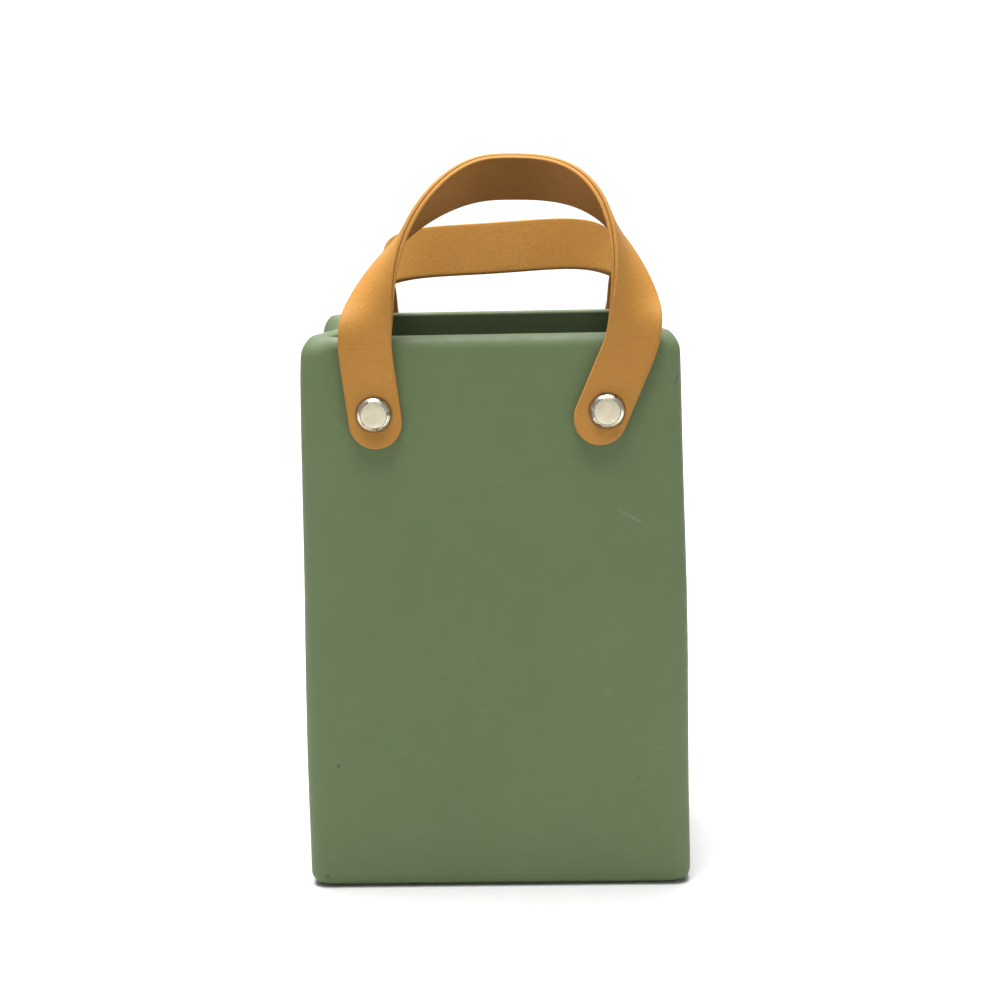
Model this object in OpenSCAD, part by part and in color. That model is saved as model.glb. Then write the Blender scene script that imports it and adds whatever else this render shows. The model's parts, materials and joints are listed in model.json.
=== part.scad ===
// Ceramic bag-shaped vase with two leather strap handles, in millimetres.
// +X right, -Y front, +Z up. The origin is the centre of the foot.

/* [Body] */
// Width across the rim
rim_w = 113; // [90:1:150]
// Width across the base
base_w = 118; // [90:1:160]
// Depth across the rim
rim_d = 74; // [50:1:110]
// Depth across the base
base_d = 80; // [50:1:120]
// Height of the rim above the foot
body_h = 171; // [120:1:240]
// Extra width at mid-height, each side
side_bulge = 0.6; // [0:0.1:3]
// Wall thickness
wall = 5; // [3:0.5:8]
// Floor thickness
floor_t = 6; // [4:0.5:12]
// Radius of the four upright edges
corner_r = 5.5; // [2:0.5:12]
// Radius of the edge round the foot
foot_r = 4.5; // [2:0.5:10]
// Radius inside, where the walls meet the floor
cove_r = 6; // [2:0.5:12]
// Radius of the inside corners
inner_corner_r = 4.5; // [2:0.5:12]
// Rounding on the outer side of the rim
rim_outer_r = 3.8; // [1:0.1:4]
// Extra rounding of the rim at its corners, downwards
corner_drop = 3; // [0:0.1:5]
// Extra rounding of the rim at its corners, inwards
corner_in = 1.2; // [0:0.1:3]
// Extra wall thickness of the folded sides at the rim
side_extra = 2.8; // [0:0.1:4]
// How far the rear right corner is drawn in at the rim
rear_right_in = 2.5; // [0:0.5:6]

/* [Side gussets] */
// Depth of the side fold at the rim
gusset_in = 9; // [0:0.5:18]
// Height where the side fold starts
gusset_start = 35; // [10:1:90]
// Softness of the fold's crease
gusset_soft = 4; // [0.5:0.5:12]

/* [Leather straps] */
// Width of the strap
strap_w = 15.8; // [10:0.1:25]
// Thickness of each of the two leather layers
layer_t = 1.3; // [0.8:0.1:2.5]
// Gap kept between the two layers
bond_gap = 0.04; // [0.02:0.01:0.2]
// How far each strap end reaches below its stud
tab_below = 10.5; // [8:0.5:20]
// How far the middle of each right strap end passes inside its stud
right_tab_off = 1; // [0:0.1:2]
// Distance of the fold line below the rim
fold_drop = 5; // [2:0.5:15]
// Gap between a fixed strap end and the moving strap
fold_gap = 2.9; // [1.5:0.1:5]

/* [Front handle] */
// Middle of the front handle's left end, at the fold line
front_left_x = -36.5; // [-45:0.5:-30]
// Middle of the front handle's right end, at the fold line
front_right_x = 41; // [30:0.5:48]
// Height of the front handle's arch above the fold line
front_height = 50.5; // [20:0.5:80]
// How far the front handle's arch leans in over the vase
front_lean = 21; // [0:0.5:39]
// How much the front handle's arch climbs from its middle to its right
front_skew = 0; // [-5:0.5:5]
// Tilt of the front handle's strap low in the arch, in degrees
front_low_tilt = 10; // [0:1:90]
// Tilt of the front handle's strap at the top of the arch, in degrees
front_top_tilt = 56; // [0:1:90]
// Squareness of the front handle's left shoulder, 2 being round
front_left_square = 1.9; // [1.5:0.1:6]
// Squareness of the front handle's right shoulder, 2 being round
front_right_square = 3.4; // [1.5:0.1:6]
// How late the front handle's left half leans in, 1 being early
front_left_late = 2; // [0.5:0.1:3]
// How late the front handle's right half leans in, 1 being early
front_right_late = 1; // [0.5:0.1:3]

/* [Rear handle] */
// Middle of the rear handle's left end, at the fold line
rear_left_x = -39.5; // [-45:0.5:-30]
// Middle of the rear handle's right end, at the fold line
rear_right_x = 43; // [30:0.5:48]
// Height of the rear handle's arch above the fold line
rear_height = 28; // [20:0.5:80]
// How far the rear handle's arch leans in over the vase
rear_lean = 38.5; // [0:0.5:39]
// How much the rear handle's arch climbs from its middle to its right
rear_skew = 2; // [-5:0.5:5]
// Tilt of the rear handle's strap low in the arch, in degrees
rear_low_tilt = 40; // [0:1:90]
// Tilt of the rear handle's strap at the top of the arch, in degrees
rear_top_tilt = 78; // [0:1:90]
// Squareness of the rear handle's left shoulder, 2 being round
rear_left_square = 4.4; // [1.5:0.1:6]
// Squareness of the rear handle's right shoulder, 2 being round
rear_right_square = 4; // [1.5:0.1:6]
// How late the rear handle's left half leans in, 1 being early
rear_left_late = 1; // [0.5:0.1:3]
// How late the rear handle's right half leans in, 1 being early
rear_right_late = 1; // [0.5:0.1:3]

/* [Studs] */
// Distance between the two studs of a handle
stud_spacing = 69; // [40:1:90]
// Distance of the studs below the rim
stud_drop = 22.5; // [12:0.5:50]
// Diameter of the cap
cap_d = 10; // [6:0.5:16]
// Diameter of the cap's flat disc
cap_flat_d = 8; // [4:0.5:14]
// Height of the cap's straight edge
cap_edge_h = 0.9; // [0.4:0.1:2]
// Height of the cap's bevel
cap_bevel_h = 0.9; // [0.3:0.1:2]
// Diameter of the hollow barrel
barrel_d = 5; // [4:0.1:8]
// Diameter of the screw shank
shank_d = 3; // [2:0.1:5]
// Diameter of the screw head
screw_head_d = 9; // [6:0.5:14]
// Thickness of the screw head
screw_head_t = 1.6; // [1:0.1:3]
// Width of the screwdriver slot
slot_w = 1.2; // [0.6:0.1:2]
// Depth of the screwdriver slot
slot_depth = 0.8; // [0.4:0.1:1.4]
// Diameter of the soft washer
washer_d = 12; // [8:0.5:18]
// Thickness of the soft washer
washer_t = 1.2; // [0.5:0.1:3]

/* [Hidden] */
$fn = 48;

FRONT = -1;
REAR = 1;
LEFT = -1;
RIGHT = 1;

clay = [0.40, 0.47, 0.34];
tan_leather = [0.78, 0.53, 0.27];
dark_leather = [0.44, 0.29, 0.15];
bright_metal = [0.80, 0.78, 0.72];
steel = [0.62, 0.62, 0.62];
black_rubber = [0.12, 0.12, 0.12];

rim_inner_r = wall - rim_outer_r;
arc_step = 22.5;
gusset_points = 8;
rim_zone = 15;
corner_zone = 10;
corner_soft = 5;
side_zone = 22;
side_soft = 8;

stud_z = body_h - stud_drop;
fold_z = body_h - fold_drop;
tab_top_z = fold_z - fold_gap;
strap_t = 2 * layer_t;
seat_gap = 0.03;
bore_gap = 0.1;
seat_y = half_depth(stud_z - tab_below) + seat_gap;
strap_y = seat_y + layer_t;
inner_wall_y = half_depth(stud_z) - wall;
washer_clear = 0.12;
washer_z = inner_wall_y - washer_clear - washer_t - seat_y;
screw_z = washer_z - screw_head_t;
barrel_end_z = washer_z + 0.15;
thread_gap = 0.05;
barrel_bore_r = shank_d / 2 + thread_gap;

// Each handle's own sizes, with its left and right values in pairs, in the order of these names.
ENDS = 0;
HEIGHT = 1;
LEAN = 2;
SKEW = 3;
TILTS = 4;
SQUARES = 5;
LATES = 6;
front_handle = [
    [front_left_x, front_right_x], front_height, front_lean, front_skew,
    [front_low_tilt, front_top_tilt],
    [front_left_square, front_right_square],
    [front_left_late, front_right_late]];
rear_handle = [
    [rear_left_x, rear_right_x], rear_height, rear_lean, rear_skew,
    [rear_low_tilt, rear_top_tilt],
    [rear_left_square, rear_right_square],
    [rear_left_late, rear_right_late]];
strap_steps = 112;
heading_step = 0.5;
let_go_share = 0.25;

function smooth(t) = let (c = min(max(t, 0), 1)) c * c * (3 - 2 * c);
function unit(v) = v / norm(v);
function half_width(z) = (base_w + (rim_w - base_w) * z / body_h) / 2 + side_bulge * sin(180 * z / body_h);
function half_depth(z) = (base_d + (rim_d - base_d) * z / body_h) / 2;
function rise(z) = max(0, (z - gusset_start) / (body_h - gusset_start));
function crease(y) = sqrt(y * y + gusset_soft * gusset_soft) - gusset_soft;

// One corner of a level outline, with its middle at angle mid.
function corner_arc(cx, cy, r, mid) =
    [for (a = [mid - 45 : arc_step : mid + 45]) [cx + r * cos(a), cy + r * sin(a)]];

// The folded side between two corners, for side s = 1 (right) or -1 (left).
function side_fold(s, hw, span, fold) =
    [for (i = [1 : gusset_points - 1])
        let (y = s * span * (2 * i / gusset_points - 1))
        [s * (hw - fold * (1 - crease(y) / crease(span))), y]];

// A level outline of the body at height z, moved inwards by inset.
function outline(z, inset) =
    let (hw = half_width(z) - inset)
    let (hd = half_depth(z) - inset)
    let (r = max(corner_r - inset, inner_corner_r))
    let (fold = gusset_in * rise(z))
    let (even = concat(
        corner_arc(-hw + r, -hd + r, r, 225),
        corner_arc(hw - r, -hd + r, r, 315),
        side_fold(1, hw, hd - r, fold),
        corner_arc(hw - r, hd - r, r, 45),
        corner_arc(-hw + r, hd - r, r, 135),
        side_fold(-1, hw, hd - r, fold)))
    [for (p = even) [p[0] - rear_right_in * rise(z) * smooth(p[0] / hw) * smooth(p[1] / hd), p[1]]];

// 1 at the body's four corners, fading out along the walls.
function corner_share(p, z) =
    smooth((abs(p[0]) - half_width(z) + corner_zone) / corner_soft)
    * smooth((abs(p[1]) - half_depth(z) + corner_zone) / corner_soft);

function near_rim(z) = smooth((z - body_h + rim_zone) / rim_zone);

// How far the rim's larger rounding at the corners moves a point down, and inwards on each axis.
function slump(z, inset) =
    inset > rim_outer_r ? 0 : corner_drop * near_rim(z) * min(1, (body_h - z) / rim_outer_r);
function pull(z, inset) = corner_in * near_rim(z) * min(1, inset / rim_outer_r);

// How much further in the inner face of a folded side stands, near the rim.
function thicker(p, z, inset) =
    side_extra * near_rim(z) * min(1, max(0, inset - rim_outer_r) / rim_inner_r)
    * smooth((abs(p[0]) - half_width(z) + side_zone) / side_soft);

// A point of an outline, with the rim's extra rounding and thickness added.
function skin_point(p, z, inset) =
    let (share = corner_share(p, z))
    let (inwards = share * pull(z, inset))
    [
        p[0] - sign(p[0]) * (inwards + thicker(p, z, inset)),
        p[1] - sign(p[1]) * inwards,
        z - share * slump(z, inset)];

// The body's profile as [height, inset] pairs: up the outside, over the rim, down the inside.
profile = concat(
    [for (a = [0 : 30 : 90]) [foot_r * (1 - cos(a)), foot_r * (1 - sin(a))]],
    [for (z = [20, gusset_start, 60, 90, 120, 145, body_h - 10]) [z, 0]],
    [for (a = [0 : arc_step : 90]) [body_h - rim_outer_r * (1 - sin(a)), rim_outer_r * (1 - cos(a))]],
    [for (a = [arc_step : arc_step : 90])
        [body_h - rim_inner_r * (1 - cos(a)), wall - rim_inner_r * (1 - sin(a))]],
    [for (z = [body_h - 10, 145, 120, 90, 60, gusset_start, 20]) [z, wall]],
    [for (a = [0 : 30 : 90]) [floor_t + cove_r * (1 - sin(a)), wall + cove_r * (1 - cos(a))]]);

// A closed skin through a stack of equal-length outlines, each end closed by a fan from its middle.
module loft(rows) {
    n = len(rows[0]);
    last = len(rows) - 1;
    start = n * (last + 1);
    walls = [for (i = [0 : last - 1]) for (j = [0 : n - 1])
        let (a = i * n + j)
        let (b = i * n + (j + 1) % n)
        each [[a, a + n, b + n], [a, b + n, b]]];
    first_cap = [for (j = [0 : n - 1]) [start, j, (j + 1) % n]];
    last_cap = [for (j = [0 : n - 1]) [start + 1, last * n + (j + 1) % n, last * n + j]];
    polyhedron(
        points = concat([for (row = rows) each row], [[0, 0, rows[0][0][2]], [0, 0, rows[last][0][2]]]),
        faces = concat(walls, first_cap, last_cap));
}

// Puts a stud's own frame in place: its origin at the wall's face, its +Z outwards.
module at_stud(face, side) {
    translate([side * stud_spacing / 2, face * seat_y, stud_z])
        rotate([-face * 90, 0, 0])
            children();
}

module ceramic_body() {
    color(clay) difference() {
        loft([for (row = profile) [for (p = outline(row[0], row[1])) skin_point(p, row[0], row[1])]]);
        for (face = [FRONT, REAR], side = [LEFT, RIGHT])
            at_stud(face, side)
                translate([0, 0, -2 * wall])
                    cylinder(r = barrel_d / 2 + 5 * bore_gap, h = 4 * wall);
    }
}

// Where the middle of a strap's flat end passes its stud.
function aim_x(side) = side * stud_spacing / 2 - (side > 0 ? right_tab_off : 0);

function handle(face) = face < 0 ? front_handle : rear_handle;
function half_of(a) = a < 90 ? 0 : 1;
function end_x(face, side) = handle(face)[ENDS][side < 0 ? 0 : 1];

// Sideways run of a strap end for each millimetre that it climbs.
function splay(face, side) = (end_x(face, side) - aim_x(side)) / (fold_z - stud_z);

// Share of the way from the rim to the top of the arch, at height z above the fold line.
function free(face, z) = max(0, z - fold_drop) / (handle(face)[HEIGHT] - fold_drop);

// 0 beside the rim and 1 from a quarter of the way up, so that the strap passes the rim before it turns.
function let_go(face, z) = smooth(free(face, z) / let_go_share);

// Share of the arch's height at angle a, which runs from 0 at the left end to 180 at the right one.
function climb(face, a) =
    let (square = handle(face)[SQUARES][half_of(a)])
    pow(max(0, 1 - pow(abs(cos(a)), square)), 1 / square);

// The middle of a strap at angle a: x, distance from the vase's mid plane, height above the fold line.
function middle(face, a) =
    let (h = handle(face))
    let (share = climb(face, a))
    let (z = share * (h[HEIGHT] - h[SKEW] * cos(a)))
    let (drift = splay(face, a < 90 ? LEFT : RIGHT) * z * pow(1 - share, 3))
    [
        (h[ENDS][0] + h[ENDS][1] - (h[ENDS][1] - h[ENDS][0]) * cos(a)) / 2 + drift,
        strap_y - h[LEAN] * pow(max(0, sin(a)), h[LATES][half_of(a)]) * let_go(face, z),
        z];

// Direction of a strap at angle a.
function heading(face, a) =
    a <= 0 ? unit([splay(face, LEFT), 0, 1])
    : a >= 180 ? unit([-splay(face, RIGHT), 0, -1])
    : unit(middle(face, min(180, a + heading_step)) - middle(face, max(0, a - heading_step)));

// Direction from a strap's left-hand edge to its right-hand one, as seen walking along its outer face.
// It turns from level at one end, through the tilt at the top, to level the other way at the other end.
function across(face, a) =
    let (z = middle(face, a)[2])
    let (half_turn = 90 * sin(90 * free(face, z)) * let_go(face, z))
    let (turn = a < 90 ? half_turn : 180 - half_turn)
    let (tilts = handle(face)[TILTS])
    let (tilt = tilts[0] + (tilts[1] - tilts[0]) * pow(climb(face, a), 4))
    -face * [cos(turn), sin(turn) * cos(tilt), sin(turn) * sin(tilt)];

// A strap's two edges at angle a, a full strap width apart when measured square to its run.
function station(face, a) =
    let (w = across(face, a))
    let (reach = strap_w / 2 / norm(cross(w, heading(face, a))))
    [middle(face, a) - reach * w, middle(face, a) + reach * w];

// Edge k of a strap, with its points closer together near the ends.
function edge_points(face, k) =
    [for (i = [0 : strap_steps])
        let (p = station(face, 180 * smooth(i / strap_steps))[k])
        [p[0], face * p[1], fold_z + p[2]]];

// A ribbon between two edges, from one height above its middle surface to another.
module ribbon(face, low, high) {
    left = edge_points(face, 0);
    right = edge_points(face, 1);
    last = len(left) - 1;
    along = [for (i = [0 : last])
        left[min(i + 1, last)] + right[min(i + 1, last)] - left[max(i - 1, 0)] - right[max(i - 1, 0)]];
    up = [for (i = [0 : last]) unit(cross(right[i] - left[i], along[i]))];
    corners = [for (i = [0 : last])
        each [
            left[i] + low * up[i], right[i] + low * up[i],
            right[i] + high * up[i], left[i] + high * up[i]]];
    skin = [for (i = [0 : last - 1])
        let (a = 4 * i)
        let (b = a + 4)
        each [
            [a, a + 1, b + 1], [a, b + 1, b],
            [a + 1, a + 2, b + 2], [a + 1, b + 2, b + 1],
            [a + 2, a + 3, b + 2], [a + 3, b + 3, b + 2],
            [a + 3, a, b], [a + 3, b, b + 3]]];
    polyhedron(
        points = corners,
        faces = concat([[3, 2, 1, 0]], skin, [[4 * last, 4 * last + 1, 4 * last + 2, 4 * last + 3]]));
}

// The flat end of a strap: straight sides from the fold line down to a round end below the stud.
module tab(face, side, low, high) {
    x = aim_x(side);
    dir = unit([splay(face, side), 1]);
    across = [dir[1], -dir[0]];
    r = strap_w / 2;
    centre = [x, stud_z] - (tab_below - r) * dir;
    run = (tab_top_z - centre[1]) / dir[1];
    lean = r * across[1] / dir[1];
    end_angle = atan2(across[1], across[0]);
    round_end = [for (a = [0 : 7.5 : 180]) centre + r * [cos(end_angle - a), sin(end_angle - a)]];
    top = [
        centre - r * across + (run + lean) * dir,
        centre + r * across + (run - lean) * dir];
    difference() {
        translate([0, face * (seat_y + (face > 0 ? high : low)), 0])
            rotate([90, 0, 0])
                linear_extrude(high - low)
                    polygon(concat(round_end, top));
        at_stud(face, side)
            translate([0, 0, -strap_t])
                cylinder(r = barrel_d / 2 + bore_gap, h = 3 * strap_t);
    }
}

module front_strap_outer() {
    color(tan_leather) ribbon(FRONT, bond_gap / 2, layer_t);
}

module front_strap_lining() {
    color(dark_leather) ribbon(FRONT, -layer_t, -bond_gap / 2);
}

module rear_strap_outer() {
    color(tan_leather) ribbon(REAR, bond_gap / 2, layer_t);
}

module rear_strap_lining() {
    color(dark_leather) ribbon(REAR, -layer_t, -bond_gap / 2);
}

module tab_outer(face, side) {
    color(tan_leather) tab(face, side, layer_t + bond_gap / 2, strap_t);
}

module tab_lining(face, side) {
    color(dark_leather) tab(face, side, 0, layer_t - bond_gap / 2);
}

// Cap and hollow barrel, in one piece.
module stud(face, side) {
    color(bright_metal) at_stud(face, side) difference() {
        union() {
            translate([0, 0, barrel_end_z]) cylinder(d = barrel_d, h = strap_t - barrel_end_z);
            translate([0, 0, strap_t]) cylinder(d = cap_d, h = cap_edge_h);
            translate([0, 0, strap_t + cap_edge_h]) cylinder(d1 = cap_d, d2 = cap_flat_d, h = cap_bevel_h);
        }
        translate([0, 0, barrel_end_z - 1]) cylinder(r = barrel_bore_r, h = strap_t - barrel_end_z + 1);
    }
}

// The screw inside the vase, with its shank in the barrel.
module screw(face, side) {
    color(steel) at_stud(face, side) difference() {
        union() {
            translate([0, 0, screw_z]) cylinder(d = screw_head_d, h = screw_head_t);
            translate([0, 0, washer_z]) cylinder(d = shank_d, h = -washer_z);
        }
        translate([-screw_head_d, -slot_w / 2, screw_z - slot_depth])
            cube([2 * screw_head_d, slot_w, 2 * slot_depth]);
    }
}

module washer(face, side) {
    color(black_rubber) at_stud(face, side) translate([0, 0, washer_z]) difference() {
        cylinder(d = washer_d, h = washer_t);
        translate([0, 0, -1]) cylinder(r = barrel_d / 2 + 2 * bore_gap, h = washer_t + 2);
    }
}

ceramic_body();
front_strap_outer();
front_strap_lining();
rear_strap_outer();
rear_strap_lining();
tab_outer(FRONT, LEFT);  // front_left_tab_outer
tab_lining(FRONT, LEFT);  // front_left_tab_lining
tab_outer(FRONT, RIGHT);  // front_right_tab_outer
tab_lining(FRONT, RIGHT);  // front_right_tab_lining
tab_outer(REAR, LEFT);  // rear_left_tab_outer
tab_lining(REAR, LEFT);  // rear_left_tab_lining
tab_outer(REAR, RIGHT);  // rear_right_tab_outer
tab_lining(REAR, RIGHT);  // rear_right_tab_lining
stud(FRONT, LEFT);  // front_left_stud
stud(FRONT, RIGHT);  // front_right_stud
stud(REAR, LEFT);  // rear_left_stud
stud(REAR, RIGHT);  // rear_right_stud
screw(FRONT, LEFT);  // front_left_screw
screw(FRONT, RIGHT);  // front_right_screw
screw(REAR, LEFT);  // rear_left_screw
screw(REAR, RIGHT);  // rear_right_screw
washer(FRONT, LEFT);  // front_left_washer
washer(FRONT, RIGHT);  // front_right_washer
washer(REAR, LEFT);  // rear_left_washer
washer(REAR, RIGHT);  // rear_right_washer
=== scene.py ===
"""Ceramic bag vase with two leather strap handles: the looks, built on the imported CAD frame."""
import json
import math

import bpy
import numpy as np
from mathutils import Matrix, Vector, noise


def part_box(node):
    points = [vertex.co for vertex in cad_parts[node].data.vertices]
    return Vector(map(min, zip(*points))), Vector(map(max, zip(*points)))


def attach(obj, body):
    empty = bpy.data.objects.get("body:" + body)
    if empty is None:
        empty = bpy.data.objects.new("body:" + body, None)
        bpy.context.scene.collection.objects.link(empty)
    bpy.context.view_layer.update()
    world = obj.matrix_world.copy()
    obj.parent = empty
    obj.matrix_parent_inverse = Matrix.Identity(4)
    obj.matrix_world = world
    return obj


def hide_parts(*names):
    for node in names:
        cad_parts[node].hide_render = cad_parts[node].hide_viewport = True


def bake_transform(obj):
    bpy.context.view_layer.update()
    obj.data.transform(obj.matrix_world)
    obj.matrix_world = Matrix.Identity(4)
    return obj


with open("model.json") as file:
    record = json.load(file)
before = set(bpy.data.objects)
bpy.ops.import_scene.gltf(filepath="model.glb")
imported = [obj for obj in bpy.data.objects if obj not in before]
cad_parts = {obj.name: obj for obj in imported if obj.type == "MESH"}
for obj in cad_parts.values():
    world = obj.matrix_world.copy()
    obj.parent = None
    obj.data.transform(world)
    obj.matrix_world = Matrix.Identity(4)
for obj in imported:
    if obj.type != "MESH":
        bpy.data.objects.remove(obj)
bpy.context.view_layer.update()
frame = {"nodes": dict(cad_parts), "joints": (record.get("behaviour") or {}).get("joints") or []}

MM = 0.001
FACES = {"front": -1, "rear": 1}
SIDES = {"left": -1, "right": 1}

# ---- sizes, in metres: from the frame where it holds them, otherwise as in part.scad ----
BODY_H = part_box("ceramic_body")[1].z
BASE_W, BASE_D = 118 * MM, 80 * MM
RIM_W, RIM_D = 113 * MM, 74 * MM
SIDE_BULGE = 0.6 * MM
WALL, FLOOR_T = 5 * MM, 6 * MM
CORNER_R, INNER_CORNER_R = 5.5 * MM, 4.5 * MM
FOOT_R, COVE_R = 4.5 * MM, 6 * MM
RIM_OUTER_R, RIM_INNER_R = 3.8 * MM, 1.2 * MM
CORNER_DROP, CORNER_IN, SIDE_EXTRA, RIM_ZONE = 3 * MM, 1.2 * MM, 2.8 * MM, 15 * MM
CORNER_ZONE, CORNER_SOFT = 10 * MM, 5 * MM
SIDE_ZONE, SIDE_SOFT = 22 * MM, 8 * MM
REAR_RIGHT_IN = 2.5 * MM
GUSSET_IN, GUSSET_START, GUSSET_SOFT = 9 * MM, 35 * MM, 3.2 * MM

STRAP_W, LAYER_T = 15.8 * MM, 1.3 * MM
STRAP_T = 2 * LAYER_T
HALF_BOND = 0.02 * MM
TAB_BELOW, RIGHT_TAB_OFF = 10.5 * MM, 1 * MM
fold_at = {j["name"]: Vector(j["pos_m"]) for j in frame["joints"]}
FOLD_Z = fold_at["front_handle_fold"].z
STRAP_Y = -fold_at["front_handle_fold"].y
SEAT_Y = STRAP_Y - LAYER_T


def box_centre(node):
    low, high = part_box(node)
    return (low + high) / 2


STUD_X = box_centre("front_right_stud").x
STUD_Z = box_centre("front_right_stud").z


# ---- small helpers ----
def smooth(t):
    t = np.clip(t, 0, 1)
    return t * t * (3 - 2 * t)


def unit_rows(a):
    return a / np.maximum(np.linalg.norm(a, axis=-1, keepdims=True), 1e-12)


def mesh_object(name, verts, faces, materials):
    mesh = bpy.data.meshes.new(name)
    mesh.from_pydata([tuple(v) for v in verts], [], faces)
    for m in materials:
        mesh.materials.append(m)
    mesh.validate()
    mesh.update()
    mesh.polygons.foreach_set("use_smooth", [True] * len(mesh.polygons))
    obj = bpy.data.objects.new(name, mesh)
    bpy.context.scene.collection.objects.link(obj)
    return obj


def grid_faces(rows, columns, closed=True):
    """Quads between neighbouring rows of points. A closed grid joins its last column to its first."""
    faces = []
    for i in range(rows - 1):
        for j in range(columns if closed else columns - 1):
            k = (j + 1) % columns
            faces.append((i * columns + j, i * columns + k, (i + 1) * columns + k, (i + 1) * columns + j))
    return faces


# ---- materials ----
CLAY_TONE, CLAY_PATCH, CLAY_MOTTLE = (0.11, 0.158, 0.069), (0.122, 0.172, 0.077), (0.132, 0.18, 0.087)
CLAY_SCUFF, CLAY_DARK = (0.24, 0.28, 0.19), (0.07, 0.09, 0.05)
INSIDE_SHADE = 0.62
FACE_TONE, FACE_PATCH, FACE_FIBRE = (0.41, 0.189, 0.033), (0.445, 0.21, 0.039), (0.31, 0.135, 0.023)
# The second colour on the next line is a painted shadow round each stud's cap.
FACE_RUBBED, FACE_CAP_SHADOW = (0.31, 0.135, 0.025), (0.07, 0.03, 0.008)
# The second colour on the next line is painted shade in the creases at the rim.
FACE_SPOT, FACE_CREASE_SHADE = (0.06, 0.025, 0.008), (0.25, 0.105, 0.02)
EDGE_TONE, EDGE_FIBRE = (0.41, 0.19, 0.036), (0.5, 0.235, 0.05)
GLUE_TONE, GLUE_PATCH = (0.3, 0.135, 0.03), (0.38, 0.172, 0.038)
# The first colour on the next line is painted shade under the top of the arch.
LINING_CROWN_SHADE, LINING_LEG = (0.195, 0.083, 0.018), (0.3, 0.135, 0.036)
LINING_PATCH, LINING_NAP = (0.29, 0.128, 0.03), (0.17, 0.07, 0.016)
BEVEL_COLOR, TARNISH_COLOR, SATIN_COLOR = (0.86, 0.83, 0.72), (0.30, 0.27, 0.20), (0.80, 0.73, 0.54)
# The first colour on the next line is a painted dark reflection on the studs' polished bevels.
DARK_FACET_REFLECTION, SMUDGE_SHADE = (0.09, 0.085, 0.07), 0.86
STEEL_COLOR = (0.56, 0.56, 0.56)
RUBBER_TONE, RUBBER_DUST = (0.022, 0.022, 0.023), (0.05, 0.05, 0.048)
FLOOR_TONE, FLOOR_PATCH = (0.66, 0.66, 0.66), (0.69, 0.69, 0.69)

# Small marks on the front wall, and a spot on the straps' faces as (across, along).
SCRATCH_AT = Vector((41.5, -38, 116)) * MM
DIMPLE_AT = Vector((-15, -39, 67.5)) * MM
CRACK_AT = Vector((55.5, -37, 157.5)) * MM
SPECKS_AT = [Vector((-49, -39.5, 39.5)) * MM, Vector((-53.5, -39, 4)) * MM]
SPECK_SIZE = (0.9 * MM, 3 * MM, 0.7 * MM)
CRACK_SIZE, CRACK_TURN = (0.35 * MM, 4 * MM, 3.2 * MM), 0.35
SCRATCH_SIZE, SCRATCH_TURN = (6 * MM, 4 * MM, 0.5 * MM), 0.5
DIMPLE_SIZE, DIMPLE_SHIFT = (2.6 * MM, 4 * MM, 2.2 * MM), Vector((0.6, 0, 0.9)) * MM
SPOT_AT, SPOT_R = (7 * MM, 142 * MM), 0.45 * MM

# Bands on the leather: out from the strap's middle line, and out from a stud's centre, where a painted
# shadow rings the cap.
RUBBED_FROM, RUBBED_TO = 6.9 * MM, 7.8 * MM
CAP_SHADOW_TO, CAP_SHADOW_FROM = 6.0 * MM, 5.0 * MM
# More bands, along the strap from the middle of its nearer round end.
CREASE_START, CREASE_FULL = 16 * MM, 20 * MM
CREASE_EASE, CREASE_END = 25 * MM, 30 * MM
CROWN_FROM, LEG_FROM = 98 * MM, 74 * MM


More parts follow.
